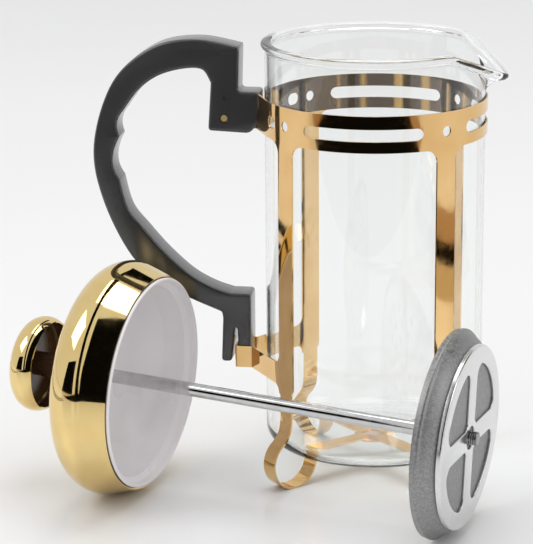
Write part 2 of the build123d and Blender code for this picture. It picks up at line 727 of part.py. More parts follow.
def make_spring_plate():
    """Perforated plate that holds the spring down in the mesh's fold."""
    low = cross_face_z + cross_sheet + mesh_sheet + hub_height
    inner_r = spring_plate_radius - spring_plate_skirt
    skirt_r = inner_r - skirt_overlap
    top = spring_centre_z() + spring_wire_radius + spring_plate_gap
    middle = disc(inner_r, low, low + spring_plate_sheet)
    skirt = turned(
        Line((skirt_r, 0, low), (spring_plate_radius, 0, top)),
        Line((spring_plate_radius, 0, top), (spring_plate_radius, 0, top + spring_plate_sheet)),
        Line((spring_plate_radius, 0, top + spring_plate_sheet),
             (skirt_r, 0, low + spring_plate_sheet)),
        Line((skirt_r, 0, low + spring_plate_sheet), (skirt_r, 0, low)),
    )
    plate = middle + skirt
    for radius, count in spring_plate_rings:
        for hole in PolarLocations(radius, count):
            plate -= hole * disc(spring_plate_hole / 2, low - cross_sheet, low + 2 * cross_sheet)
    return plate - disc(rod_radius + thread_gap, low - cross_sheet, low + 2 * cross_sheet)


def lying_place():
    """Where the plunger lies: its dome's edge and its mesh's rim both touch the surface."""
    axial = dome_round_z - filter_plane_z
    tilt = atan((dome_edge_radius + dome_round - mesh_radius) / axial)
    heading = radians(plunger_heading)
    rim_height = (dome_edge_radius * cos(tilt) + dome_round) - dome_round_z * sin(tilt)
    to_filter = Vector(cos(heading) * cos(tilt), sin(heading) * cos(tilt), -sin(tilt))
    return Plane(
        origin=(plunger_x, plunger_y, rim_height), z_dir=-to_filter, x_dir=(-sin(heading), cos(heading), 0)
    ).location


def make_all():
    """Every piece by node name."""
    legs = {f"leg_{name}": make_leg(angle) for name, angle in leg_angles.items()}
    legs["leg_back_left"] += collar_strip(1) + collar_web(1)
    legs["leg_front_left"] += collar_strip(-1) + collar_web(-1)
    pot = {
        "beaker": make_beaker(),
        "frame_band": make_band(),
        **legs,
        "base_disc": make_cross_disc(),
        "base_rivet": make_base_rivet(),
        "handle": make_handle(),
        "clamp_screw": make_clamp_screw(),
        "clamp_nut": make_clamp_nut(),
    }
    plunger = {
        "lid_dome": make_lid_dome(),
        "lid_liner": make_lid_liner(),
        "rod_guide": make_rod_guide(),
        "guide_nut": make_guide_nut(),
        "knob_shell": make_knob_shell(),
        "knob_core": make_knob_core(),
        "plunger_rod": make_rod(),
        "spring_plate": make_spring_plate(),
        "filter_spring": make_filter_spring(),
        "mesh_screen": make_mesh_screen(),
        "filter_hub": make_hub(),
        "cross_plate": make_cross_plate(),
    }
    place = lying_place()
    return pot | {name: place * piece for name, piece in plunger.items()}


os.makedirs("parts", exist_ok=True)
for node, shape in make_all().items():
    export_step(shape, f"parts/{node}.step")
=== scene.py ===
import json
from math import asin, cos, degrees, pi, radians, sin, sqrt

import bmesh
import bpy
from mathutils import Matrix, Vector


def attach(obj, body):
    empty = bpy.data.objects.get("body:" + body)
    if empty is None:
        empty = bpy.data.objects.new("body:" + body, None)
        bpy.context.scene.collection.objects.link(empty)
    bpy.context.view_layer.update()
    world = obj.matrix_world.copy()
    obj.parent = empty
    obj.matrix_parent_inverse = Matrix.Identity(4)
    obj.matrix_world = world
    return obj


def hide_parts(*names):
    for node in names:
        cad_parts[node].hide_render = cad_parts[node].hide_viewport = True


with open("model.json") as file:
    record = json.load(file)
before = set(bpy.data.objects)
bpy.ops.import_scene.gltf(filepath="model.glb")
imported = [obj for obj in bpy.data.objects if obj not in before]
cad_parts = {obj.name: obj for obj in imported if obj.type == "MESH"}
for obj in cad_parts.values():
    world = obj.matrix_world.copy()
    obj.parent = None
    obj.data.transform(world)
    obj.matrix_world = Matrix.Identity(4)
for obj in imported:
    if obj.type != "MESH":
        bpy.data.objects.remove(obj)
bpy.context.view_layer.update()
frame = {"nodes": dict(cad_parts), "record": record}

MM = 0.001

# Sizes of the object in millimetres. The plunger's heights run along its own axis, towards
# the knob.
BEAKER_R, WALL, BASE, RIM_Z, BEAKER_LOW = 49.0, 1.6, 2.6, 198.4, 13.592
CORNER, BEAD, BEAD_H = 8.0, 1.8, 2.6
SPOUT_TIP_X, SPOUT_TIP_Z, SPOUT_ROOT_Z, SPOUT_HALF = 60.4, 183.5, 175.0, radians(40)
ROD_R, ROD_TOP, THREAD_LENGTH, ROD_PLAY = 3.1, 60.0, 8.0, 0.02
CROSS_Z, CROSS_R, CROSS_T, CROSS_LIP = -146.9, 39.8, 1.0, 2.4
MESH_Z, MESH_R, MESH_FOLD, MESH_T = -137.6, 45.3, 2.4, 0.6
SPRING_R, SPRING_WIRE, SPRING_Z = 41.65, 1.9, -137.4
HANDLE_HALF = 7.0
RING_OUTER, SHEET = 50.1, 0.8
AXIS_R = 0.001  # a profile that reaches its axis ends just beside it

# The frame's gold: its darker and its lighter tone.
FRAME_GOLD = (0.76, 0.48, 0.20), (0.83, 0.56, 0.26)


# ---------------------------------------------------------------- node helpers

def new_material(name):
    """A node material, with its tree and its Principled shader."""
    material = bpy.data.materials.new(name)
    material.use_nodes = True
    tree = material.node_tree
    return material, tree, tree.nodes["Principled BSDF"]


def node(tree, kind, **values):
    """A node with these values: inputs by their names, else the node's own settings."""
    made = tree.nodes.new(kind)
    for key, value in values.items():
        if key in made.inputs:
            made.inputs[key].default_value = value
        else:
            setattr(made, key, value)
    return made


def noise(tree, scale, detail):
    """Noise in the object's own metres, so that it stays in place at every pose."""
    where = node(tree, "ShaderNodeTexCoord")
    made = node(tree, "ShaderNodeTexNoise", Scale=scale, Detail=detail)
    tree.links.new(where.outputs["Object"], made.inputs["Vector"])
    return made.outputs["Fac"]


def map_range(tree, source, low, high, from_low=0.3, from_high=0.7):
    """The source's value, taken from one range to another. Noise mostly fills 0.3 to 0.7."""
    made = node(tree, "ShaderNodeMapRange")
    made.inputs["From Min"].default_value = from_low
    made.inputs["From Max"].default_value = from_high
    made.inputs["To Min"].default_value = low
    made.inputs["To Max"].default_value = high
    tree.links.new(source, made.inputs["Value"])
    return made.outputs["Result"]


def bump(tree, height, strength, distance, shader):
    """Fine relief on the shader, with the distance in metres."""
    made = node(tree, "ShaderNodeBump", Strength=strength, Distance=distance)
    tree.links.new(height, made.inputs["Height"])
    tree.links.new(made.outputs["Normal"], shader.inputs["Normal"])


def ramp(tree, source, stops):
    """A colour from (place, colour) stops over the source's value."""
    made = node(tree, "ShaderNodeValToRGB")
    while len(made.color_ramp.elements) < len(stops):
        made.color_ramp.elements.new(0.5)
    for element, (place, colour) in zip(made.color_ramp.elements, stops):
        element.position = place
        element.color = (*colour, 1)
    tree.links.new(source, made.inputs["Fac"])
    return made.outputs["Color"]


def colour_by(tree, shader, source, stops):
    """The shader's colour from stops over the source's value."""
    tree.links.new(ramp(tree, source, stops), shader.inputs["Base Color"])


def roughness_by(tree, shader, source, low, high):
    """The shader's roughness from low to high by the source's value."""
    tree.links.new(map_range(tree, source, low, high), shader.inputs["Roughness"])


def clear_where(tree, share, colour=(1, 1, 1, 1)):
    """Makes the surface plainly see-through, in this colour, where share is 1."""
    clear = node(tree, "ShaderNodeBsdfTransparent", Color=colour)
    mix = node(tree, "ShaderNodeMixShader")
    tree.links.new(share, mix.inputs[0])
    tree.links.new(tree.nodes["Principled BSDF"].outputs["BSDF"], mix.inputs[1])
    tree.links.new(clear.outputs["BSDF"], mix.inputs[2])
    tree.links.new(mix.outputs["Shader"], tree.nodes["Material Output"].inputs["Surface"])


# ---------------------------------------------------------------- materials

def gold_material(name, dark, light, rough_low=0.03, rough_high=0.08):
    """Polished gold-coloured plate: a slightly uneven mirror with fine wipe marks."""
    material, tree, shader = new_material(name)
    shader.inputs["Metallic"].default_value = 1.0
    colour_by(tree, shader, noise(tree, 60, 3), [(0.3, dark), (0.7, light)])
    roughness_by(tree, shader, noise(tree, 220, 4), rough_low, rough_high)
    bump(tree, noise(tree, 28, 1), 0.12, 0.0006, shader)
    return material


def band_material():
    """The frame's gold, with painted shade on the band's inner face, broken by lighter painted
    reflection streaks.
    """
    material = gold_material("band_gold_painted_shade", *FRAME_GOLD)
    tree = material.node_tree
    shader = tree.nodes["Principled BSDF"]
    bright = shader.inputs["Base Color"].links[0].from_socket
    # The painted shade goes on the inner face: whatever lies nearer to the pot's axis than the
    # middle of the sheet.
    where = node(tree, "ShaderNodeTexCoord")
    flat = node(tree, "ShaderNodeVectorMath", operation="MULTIPLY")
    flat.inputs[1].default_value = (1, 1, 0)
    tree.links.new(where.outputs["Object"], flat.inputs[0])
    reach = node(tree, "ShaderNodeVectorMath", operation="LENGTH")
    tree.links.new(flat.outputs["Vector"], reach.inputs[0])
    middle, blend = (RING_OUTER - SHEET / 2) * MM, 0.0001
    inner = map_range(tree, reach.outputs["Value"], 1.0, 0.0, middle - blend, middle + blend)
    # This noise leaves the height out, so its painted reflection streaks run straight up the face.
    painted_reflection_streaks = node(tree, "ShaderNodeTexNoise", Scale=120.0, Detail=1.0)
    tree.links.new(flat.outputs["Vector"], painted_reflection_streaks.inputs["Vector"])
    # Painted shade: a dark bronze, with lighter painted reflection streaks through it.
    stops = [(0.52, (0.10, 0.055, 0.022)), (0.62, (0.70, 0.42, 0.12))]
    dark = ramp(tree, painted_reflection_streaks.outputs["Fac"], stops)
    mix = node(tree, "ShaderNodeMix", data_type="RGBA")
    tree.links.new(inner, mix.inputs["Factor"])
    colours = [socket for socket in mix.inputs if socket.type == "RGBA"]
    tree.links.new(bright, colours[0])
    tree.links.new(dark, colours[1])
    mixed = next(socket for socket in mix.outputs if socket.type == "RGBA")
    tree.links.new(mixed, shader.inputs["Base Color"])
    return material


def metal_material(name, dark, light, rough_low, rough_high, scale, strength):
    """Plain steel, with one grain in its tone, its roughness and its relief."""
    material, tree, shader = new_material(name)
    shader.inputs["Metallic"].default_value = 1.0
    grain = noise(tree, scale, 4)
    colour_by(tree, shader, grain, [(0.35, (dark,) * 3), (0.65, (light,) * 3)])
    roughness_by(tree, shader, grain, rough_low, rough_high)
    bump(tree, grain, strength, 0.0002, shader)
    return material


def glass_material():
    """Clear borosilicate glass that lets the lamps through to what is behind it."""
    material, tree, shader = new_material("clear_glass")
    shader.inputs["Base Color"].default_value = (0.985, 0.995, 0.99, 1)
    shader.inputs["Transmission Weight"].default_value = 1.0
    shader.inputs["IOR"].default_value = 1.47
    ripple = noise(tree, 18, 1)
    roughness_by(tree, shader, ripple, 0.0, 0.012)
    bump(tree, ripple, 0.012, 0.001, shader)
    path = node(tree, "ShaderNodeLightPath")
    clear_where(tree, path.outputs["Is Shadow Ray"], (0.93, 0.95, 0.94, 1))
    return material


def plastic_material(name, dark, light, rough_low, rough_high, scale=900, strength=0.1, coat=0.0):
    """Moulded plastic: slow changes of tone, a fine grain and, if wanted, a clear coat."""
    material, tree, shader = new_material(name)
    broad = noise(tree, 35, 2)
    colour_by(tree, shader, broad, [(0.35, dark), (0.65, light)])
    roughness_by(tree, shader, broad, rough_low, rough_high)
    bump(tree, noise(tree, scale, 3), strength, 0.0001, shader)
    shader.inputs["Coat Weight"].default_value = coat
    shader.inputs["Coat Roughness"].default_value = 0.22
    return material


def mesh_material():
    """Woven wire cloth: dark gaps between light wires, crossing at right angles."""
    material, tree, shader = new_material("wire_cloth")
    shader.inputs["Metallic"].default_value = 0.85
    where = node(tree, "ShaderNodeTexCoord")
    waves = []
    for direction in ("X", "Y", "Z"):
        made = node(tree, "ShaderNodeTexWave", Scale=560.0, Distortion=0.5, Detail=1.0)
        made.wave_type = "BANDS"
        made.bands_direction = direction
        tree.links.new(where.outputs["Object"], made.inputs["Vector"])
        waves.append(made.outputs["Fac"])
    first = node(tree, "ShaderNodeMath", operation="MULTIPLY")
    tree.links.new(waves[0], first.inputs[0])
    tree.links.new(waves[1], first.inputs[1])
    weave = node(tree, "ShaderNodeMath", operation="MAXIMUM")
    tree.links.new(first.outputs["Value"], weave.inputs[0])
    tree.links.new(waves[2], weave.inputs[1])
    speck = noise(tree, 900, 2)
    total = node(tree, "ShaderNodeMath", operation="MULTIPLY_ADD")
    tree.links.new(weave.outputs["Value"], total.inputs[0])
    total.inputs[1].default_value = 0.25
    tree.links.new(map_range(tree, speck, 0.12, 0.42), total.inputs[2])
    stops = [(place, (grey,) * 3) for place, grey in ((0.10, 0.20), (0.45, 0.33), (0.95, 0.68))]
    colour_by(tree, shader, total.outputs["Value"], stops)
    roughness_by(tree, shader, speck, 0.38, 0.6)
    bump(tree, total.outputs["Value"], 0.25, 0.0002, shader)
    return material


def set_material(thing, material):
    """Gives the piece this one finish."""
    thing.data.materials.clear()
    thing.data.materials.append(material)


def dress_node(name, material):
    """A new finish on a CAD node whose shape is right."""
    for slot in frame["nodes"][name].material_slots:
        slot.material = material


# ---------------------------------------------------------------- mesh helpers

def lying_matrix():
    """Takes points on the plunger's own axis to where the plunger lies, in millimetres."""
    for joint in frame["record"]["behaviour"]["joints"]:
        if joint["name"] == "plunger_press":
            knob_way = Vector(joint["axis"]).normalized()
        if joint["name"] == "filter_turn":
            end = Vector(joint["pos_m"]) / MM
    origin = end - knob_way * MESH_Z
    side = Vector((0, 0, 1)).cross(knob_way).normalized() * -1
    third = knob_way.cross(side)
    turn = Matrix((side, third, knob_way)).transposed().to_4x4()
    return Matrix.Translation(origin) @ turn


def link(name, data):
    """A new object in the scene, for this data."""
    thing = bpy.data.objects.new(name, data)
    bpy.context.scene.collection.objects.link(thing)
    return thing


def link_mesh(name, vertices, faces, place=None, smooth_angle=35):
    """A mesh from millimetre points, shaded smooth except over sharp edges."""
    mesh = bpy.data.meshes.new(name)
    mesh.from_pydata([Vector(v) for v in vertices], [], faces)
    if place is not None:
        mesh.transform(place)
    mesh.transform(Matrix.Scale(MM, 4))
    thing = link(name, mesh)
    shade(thing, smooth_angle)
    return thing


def shade(thing, smooth_angle):
    """Smooth shading, with a sharp edge wherever faces meet at more degrees than this."""
    made = bmesh.new()
    made.from_mesh(thing.data)
    bmesh.ops.recalc_face_normals(made, faces=made.faces)
    for face in made.faces:
        face.smooth = True
    for edge in made.edges:
        if len(edge.link_faces) == 2:
            edge.smooth = edge.calc_face_angle(0) < radians(smooth_angle)
    made.to_mesh(thing.data)
    made.free()


def grid_faces(rows, columns, wrap_rows=False):
    """Quads of a grid that closes round its columns."""
    faces = []
    for i in range(rows if wrap_rows else rows - 1):
        for j in range(columns):
            a = i * columns + j
            b = i * columns + (j + 1) % columns
            c = ((i + 1) % rows) * columns + (j + 1) % columns
            d = ((i + 1) % rows) * columns + j
            faces.append((a, b, c, d))
    return faces


def spread(start, end, count):
    """Even values from start to end, both included, in this many steps."""
    return [start + (end - start) * i / count for i in range(count + 1)]


def arc(centre, radius, start, end, count):
    """Points on an arc of the profile plane, by end angles in degrees."""
    return [
        (centre[0] + radius * cos(radians(angle)), centre[1] + radius * sin(radians(angle)))
        for angle in spread(start, end, count)
    ]


def round_outline(radius, count=160):
    """A circle of points, its last one beside its first."""
    turns = (2 * pi * i / count for i in range(count))
    return [(radius * cos(turn), radius * sin(turn)) for turn in turns]


def rounded_corners(points, radius, steps=5):
    """A closed outline with only its sharp corners rounded."""
    made = []
    total = len(points)
    for i, point in enumerate(points):
        corner = Vector(point)
        before = Vector(points[i - 1]) - corner
        after = Vector(points[(i + 1) % total]) - corner
        if before.angle(-after) < radians(30):
            made.append(point)
            continue
        start = corner + before.normalized() * min(radius, before.length * 0.45)
        end = corner + after.normalized() * min(radius, after.length * 0.45)
        made += quadratic(start, corner, end, steps)
    return made


def quadratic(start, control, end, count):
    """A plain curve from start to end, pulled towards the control point."""
    return [
        tuple(start * (1 - t) ** 2 + control * 2 * t * (1 - t) + end * t ** 2)
        for t in (k / count for k in range(count + 1))
    ]


def filled_mesh(name, loops, half, edge, steps):
    """A plate in the XY plane, from closed millimetre outlines, with its edges rounded over."""
    data = bpy.data.curves.new(name, "CURVE")
    data.dimensions = "2D"
    data.fill_mode = "BOTH"
    for loop in loops:
        spline = data.splines.new("POLY")
        spline.points.add(len(loop) - 1)
        for point, (x, y) in zip(spline.points, loop):
            point.co = (x * MM, y * MM, 0, 1)
        spline.use_cyclic_u = True
    data.extrude = (half - edge) * MM
    data.bevel_depth = edge * MM
    data.bevel_resolution = steps
    data.offset = -edge * MM
    curve = link(name + "_curve", data)
    graph = bpy.context.evaluated_depsgraph_get()
    mesh = bpy.data.meshes.new_from_object(curve.evaluated_get(graph))
    bpy.data.objects.remove(curve)
    return mesh


def weld(thing, distance=0.00002):
    """Joins points that lie on each other."""
    made = bmesh.new()
    made.from_mesh(thing.data)
    bmesh.ops.remove_doubles(made, verts=made.verts, dist=distance)
    made.to_mesh(thing.data)
    made.free()


def lathe(name, profile, place=None, segments=160, smooth_angle=35):
    """A solid of revolution from a closed profile of (radius, height)."""
    vertices = []
    for radius, height in profile:
        for j in range(segments):
            angle = 2 * pi * j / segments
            vertices.append((radius * cos(angle), radius * sin(angle), height))
    return link_mesh(name, vertices, grid_faces(len(profile), segments, True), place, smooth_angle)


def adopt(thing, body, material, slot, *nodes):
    """The piece stands for these CAD nodes and moves with their body."""
    set_material(thing, material)
    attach(thing, body)
    if nodes:
        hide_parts(*nodes)


# ---------------------------------------------------------------- beaker

def smooth_max(a, b, softness):
    """The larger of the two, with a soft change from one to the other."""
    return (a + b + sqrt((a - b) ** 2 + softness ** 2)) / 2


def spout_reach(angle, z):
    """Outer radius of the beaker at this angle and height, with its spout.

    Seen from above, the spout is a wedge that grows out of the wall from its root to the rim:
    tip is how far its point reaches, half its half width and back where that is measured."""
    fade_below, widest, fade = 6, radians(75), radians(30)
    tip_round, root_depth, root_half, point_round = 1.2, 5, 5, 0.05
    wall_gap, softness = 0.02, 1.0
    angle = abs((angle + pi) % (2 * pi) - pi)
    if z <= SPOUT_ROOT_Z - fade_below or angle > widest:
        return BEAKER_R
    share = min(1.0, max(0.0, (z - SPOUT_ROOT_Z) / (RIM_Z - SPOUT_ROOT_Z)))
    slope = (SPOUT_TIP_X - BEAKER_R) / (SPOUT_TIP_Z - SPOUT_ROOT_Z)
    top_tip = BEAKER_R + slope * (RIM_Z - SPOUT_ROOT_Z)
    tip = BEAKER_R + (top_tip - BEAKER_R) * share - tip_round
    back = BEAKER_R * cos(SPOUT_HALF) * share + (BEAKER_R - root_depth) * (1 - share)
    half = BEAKER_R * sin(SPOUT_HALF) * share + root_half * (1 - share)
    soft_sin = sqrt(sin(angle) ** 2 + point_round ** 2)
    wedge = half * tip / ((tip - back) * soft_sin + half * cos(angle))
    if angle > SPOUT_HALF:
        wedge = wedge * max(0.0, 1 - (angle - SPOUT_HALF) / fade)
    return smooth_max(BEAKER_R - wall_gap, wedge, softness)


def rim_height(angle):
    """Height of the rim, which slopes down along the spout, found step by step."""
    start = BEAKER_R * cos(SPOUT_HALF)
    slope = (SPOUT_TIP_Z - RIM_Z) / (SPOUT_TIP_X - start)
    z = RIM_Z
    for _ in range(30):
        x = spout_reach(angle, z) * cos(angle)
        target = RIM_Z + slope * (smooth_max(x, start, 2.0) - start)
        z += (min(RIM_Z, target) - z) * 0.5
    return z


def make_beaker():
    """The beaker as one closed skin: outside, rounded rim with its bead, inside."""
    segments = 288
    base_r, low, floor = 20.0, BEAKER_LOW, BEAKER_LOW + BASE
    corner_r, inner_round = BEAKER_R - CORNER, CORNER - WALL
    # The bead's section: part of its width past the wall, and depth under the rim.
    bead = (
        (0.12, 3.3), (0.45, 2.85), (0.8, 2.35), (0.97, 1.8), (1.0, 1.3), (0.88, 0.7), (0.5, 0.22),
        (-0.2, 0.02), (-0.9, 0.1), (-1.4, 0.4), (-1.7, 0.9), (-1.78, 1.6),
    )
    columns = []
    for j in range(segments):
        angle = 2 * pi * j / segments
        rim = rim_height(angle)
        column = [(AXIS_R, low), (base_r, low), (corner_r - 3, low)]
        column += arc((corner_r, low + CORNER), CORNER, -90, 0, 10)
        heights = spread(30, SPOUT_ROOT_Z - 10, 10)
        heights += spread(heights[-1], rim - BEAD_H - 1.2, 26)[1:]
        column += [(spout_reach(angle, z), z) for z in heights]
        edge = spout_reach(angle, rim - 0.5)
        column += [(edge + BEAD * share, rim - drop) for share, drop in bead]
        column += [(spout_reach(angle, z) - WALL, z) for z in reversed(heights)]
        column += arc((corner_r, floor + inner_round), inner_round, 0, -90, 8)
        column += [(base_r, floor), (AXIS_R, floor)]
        columns.append([(r * cos(angle), r * sin(angle), z) for r, z in column])
    rows = len(columns[0])
    vertices = [columns[j][i] for i in range(rows) for j in range(segments)]
    return link_mesh("beaker_glass", vertices, grid_faces(rows, segments), smooth_angle=60)


# ---------------------------------------------------------------- handle

def catmull(points, per_span=10):
    """A smooth curve through the points, ends included."""
    made = []
    padded = [points[0]] + list(points) + [points[-1]]
    for i in range(len(points) - 1):
        p0, p1, p2, p3 = (Vector(p) for p in padded[i:i + 4])
        for k in range(per_span):
            t = k / per_span
            made.append(tuple(
                0.5 * (2 * p1 + (p2 - p0) * t + (2 * p0 - 5 * p1 + 4 * p2 - p3) * t ** 2
                       + (3 * p1 - p0 - 3 * p2 + p3) * t ** 3)
            ))
    made.append(tuple(points[-1]))
    return made


def bulge(start, middle, end, count=12):
    """A shallow curve from start to end, through the middle point."""
    a, b, c = Vector(start), Vector(middle), Vector(end)
    return quadratic(a, b * 2 - (a + c) / 2, c, count)


def handle_outline():
    """Side view of the handle as (x, z), with the slit that the collar hooks into."""
    bow = catmull([
        (-60.0, 195.0), (-80.0, 198.1), (-100.0, 193.8), (-117.9, 177.6), (-127.1, 149.0),
        (-123.4, 123.5), (-110.2, 96.8), (-93.0, 82.8), (-69.0, 72.4),
    ])
    lower = [
        (-68.6, 69.5), (-69.4, 49.0), (-64.6, 49.0), (-63.2, 65.0), (-61.8, 65.0), (-61.8, 49.0),
        (-55.6, 49.0), (-55.6, 81.5),
    ]
    below = catmull([
        (-65.0, 81.5), (-74.0, 84.4), (-84.0, 89.9), (-95.0, 99.7), (-104.0, 109.8),
        (-111.6, 119.4), (-115.4, 133.2),
    ])
    grip = bulge((-115.4, 133.2), (-118.4, 142.0), (-115.0, 152.8))[1:]
    grip += bulge((-115.0, 152.8), (-116.0, 158.9), (-113.2, 164.6))[1:]
    above = catmull([
        (-113.2, 164.6), (-105.8, 174.5), (-97.0, 181.0), (-86.0, 184.4), (-77.0, 184.4),
        (-73.0, 178.5),
    ])[1:]
    upper = [
        (-74.4, 156.8), (-55.7, 156.0), (-51.2, 160.5), (-51.2, 174.9), (-60.6, 174.9),
    ]
    return bow + lower + below + grip + above + upper


def cut(thing, cutters):
    """Takes the cutters' shapes out of the piece and removes them."""
    for cutter in cutters:
        modifier = thing.modifiers.new("cut", "BOOLEAN")
        modifier.operation = "DIFFERENCE"
        modifier.solver = "EXACT"
        modifier.object = cutter
    graph = bpy.context.evaluated_depsgraph_get()
    mesh = bpy.data.meshes.new_from_object(thing.evaluated_get(graph))
    thing.modifiers.clear()
    thing.data = mesh
    for cutter in cutters:
        bpy.data.objects.remove(cutter)
    shade(thing, 30)


def rod_along_y(name, x, z, radius, y_from, y_to, segments=40):
    """A plain cylinder along Y, for cutting a bore."""
    ring = round_outline(radius, segments)
    vertices = [(x + across, y, z + up) for y in (y_from, y_to) for across, up in ring]
    faces = grid_faces(2, segments)
    faces += [tuple(range(segments)), tuple(range(2 * segments - 1, segments - 1, -1))]
    return link_mesh(name, vertices, faces)


def make_handle():
    """The bow with its blocks, the clamp screw's bore with its head, and the small dimple."""
    corner, edge = 1.8, 1.3
    (screw_x, screw_z), (dimple_x, dimple_z) = (-67.0, 162.6), (-66.6, 171.9)
    bore_r, head_r, dimple_r = 1.75, 3.1, 0.9
    head_y, dimple_y, past = 5.2, -6.3, HANDLE_HALF + 2
    outline = rounded_corners(handle_outline(), corner)
    mesh = filled_mesh("handle_bow", [outline], HANDLE_HALF, edge, 4)
    mesh.transform(Matrix.Rotation(radians(90), 4, "X"))
    handle = link("handle_bow", mesh)
    weld(handle)
    shade(handle, 30)  # also turns its faces outwards, which the cuts need
    cut(handle, [
        rod_along_y("cut_bore", screw_x, screw_z, bore_r, -past, past),
        rod_along_y("cut_head", screw_x, screw_z, head_r, head_y, past),
        rod_along_y("cut_dimple", dimple_x, dimple_z, dimple_r, -past, dimple_y),
    ])
    return handle


# ---------------------------------------------------------------- filter

def window_outline(turn):
    """One of the cross plate's four windows, with small rounds inside and large ones outside."""
    half_spoke, inner, outer, small, large = 4.5, 8.0, 32.0, 1.2, 5.0
    near = (sqrt((inner + small) ** 2 - (half_spoke + small) ** 2), half_spoke + small)
    far = (sqrt((outer - large) ** 2 - (half_spoke + large) ** 2), half_spoke + large)
    near_angle, far_angle = (
        degrees(asin(point[1] / Vector(point).length)) for point in (near, far)
    )
    shape = arc((0, 0), inner, 45, near_angle, 6)[:-1]
    shape += arc(near, small, near_angle + 180, 270, 4)
    shape += arc(far, large, 270, 360 + far_angle, 10)
    shape += arc((0, 0), outer, far_angle, 45, 10)[1:]
    shape += [(y, x) for x, y in reversed(shape)][1:-1]
    return [
        (x * cos(turn) - y * sin(turn), x * sin(turn) + y * cos(turn)) for x, y in shape
    ]


def make_cross_plate(place):
    """Pressed plate with four windows, all its edges a little rounded."""
    edge, rim_in, hole = 0.3, 0.6, 2.0
    loops = [round_outline(CROSS_R - rim_in), round_outline(ROD_R + hole, 48)]
    loops += [window_outline(k * pi / 2) for k in range(4)]
    mesh = filled_mesh("cross_flat", loops, CROSS_T / 2, edge, 3)
    mesh.transform(Matrix.Translation((0, 0, (CROSS_Z + CROSS_T / 2) * MM)))
    in_metres = place.copy()
    in_metres.translation = place.translation * MM
    mesh.transform(in_metres)
    thing = link("cross_flat", mesh)
    weld(thing)
    shade(thing, 40)
    return thing


def make_cross_rim(place):
    """The plate's edge, turned up in a small round."""
    out, low, top = CROSS_R, CROSS_Z, CROSS_Z + CROSS_LIP
    start, bend, tip, inner_bend = out - 2.2, 1.0, 0.4, 0.3
    profile = [(start, low + 0.02)] + arc((out - bend, low + bend), bend, -90, 0, 8)
    profile += [(out, top - tip)] + arc((out - tip, top - tip), tip, 0, 180, 6)
    profile += [(out - 2 * tip, low + 1.4)] + arc((out - 1.2, low + 1.2), inner_bend, 0, -90, 4)
    profile += [(start, low + 0.9)]
    return lathe("cross_rim", profile, place)


def make_mesh_screen(place):
    """Wire cloth: flat behind the plate, flared, rounded over the spring and folded back."""
    flat_r = CROSS_R - CROSS_T - 0.1
    face_z = CROSS_Z + CROSS_T
    low_edge = CROSS_Z + CROSS_LIP + 0.1
    hole_r, sag = ROD_R + 0.1, 0.35
    outer = [(hole_r, face_z), (12, face_z), (25, face_z), (flat_r - 0.5, face_z)]
    outer += [(flat_r, face_z + 0.4), (flat_r, low_edge - 0.3)]
    span_r, span_z = MESH_R - 0.9 - flat_r, MESH_Z - 0.9 - low_edge
    for k in range(1, 11):
        t = k / 10
        bow = sag * sin(pi * t)
        outer.append((flat_r + span_r * t + bow, low_edge + span_z * t - bow))
    outer += arc((MESH_R - 1.3, MESH_Z + 0.2), 1.3, -45, 35, 6)
    outer += [(MESH_R - 0.35, MESH_Z + 1.6), (MESH_R - 0.5, MESH_Z + MESH_FOLD)]
    inner = []
    for r, z in reversed(outer):
        if z > low_edge:
            inner.append((r - MESH_T * 0.75, z + MESH_T * 0.4))
        else:
            inner.append((r - 0.25, z + MESH_T))
    inner[-1] = (hole_r, face_z + MESH_T)
    return lathe("mesh_cloth", outer + inner, place, segments=240, smooth_angle=50)


def make_spring(place):
    """The closely wound coil, bent into a ring."""
    turns, per_turn, wire, ring = 170, 12, 0.42, 6
    radius = SPRING_WIRE - wire
    total = turns * per_turn
    vertices = []
    for i in range(total):
        around = 2 * pi * i / total
        twist = 2 * pi * i / per_turn
        outward = Vector((cos(around), sin(around), 0))
        up = Vector((0, 0, 1))
        tangent = Vector((-sin(around), cos(around), 0))
        centre = outward * (SPRING_R + radius * cos(twist)) + up * (SPRING_Z + radius * sin(twist))
        across = outward * cos(twist) + up * sin(twist)
        for k in range(ring):
            a = 2 * pi * k / ring
            vertices.append(centre + across * (wire * cos(a)) + tangent * (wire * sin(a)))
    return link_mesh("spring_coil", vertices, grid_faces(total, ring, True), place, 80)


def make_rod(place):
    """The rod's polished length, down to where the thread starts."""
    r, low, chamfer, top_chamfer = ROD_R - ROD_PLAY, CROSS_Z + THREAD_LENGTH, 0.3, 0.4
    profile = [(AXIS_R, low), (r - chamfer, low), (r, low + chamfer), (r, -100), (r, -50), (r, 0)]
    profile += [(r, ROD_TOP - top_chamfer), (r - top_chamfer, ROD_TOP), (AXIS_R, ROD_TOP)]
    return lathe("rod_bar", profile, place, segments=64)


def make_thread(place):
    """The rod's threaded end: one coarse groove that winds round it."""
    segments, steps, pitch, depth = 48, 90, 1.0, 0.32
    low, top, chamfer = CROSS_Z - 3.2, CROSS_Z + THREAD_LENGTH, 0.35
    end_drops = (0.6, 0.3)  # how much smaller the first two rings are
    heights = [low, low + 0.05] + spread(low + chamfer, top, steps)
    vertices = []
    for i, z in enumerate(heights):
        for j in range(segments):
            angle = 2 * pi * j / segments
            phase = (z / pitch - j / segments) % 1.0
            drop = end_drops[i] if i < 2 else depth * abs(2 * phase - 1)
            r = ROD_R - ROD_PLAY - drop
            vertices.append((r * cos(angle), r * sin(angle), z))
    faces = grid_faces(len(heights), segments)
    last = (len(heights) - 1) * segments
    faces += [tuple(range(segments - 1, -1, -1)), tuple(range(last, last + segments))]
    return link_mesh("rod_thread", vertices, faces, place, 40)


# ---------------------------------------------------------------- stage, lamps and camera

# From here on, places and sizes are in metres.
FLOOR_HALF = 9.0
CARD_Z = 0.0015
ROOM_R = 1.75
BLACK = (0.004, 0.004, 0.004)
BROWN = (0.42, 0.30, 0.20)


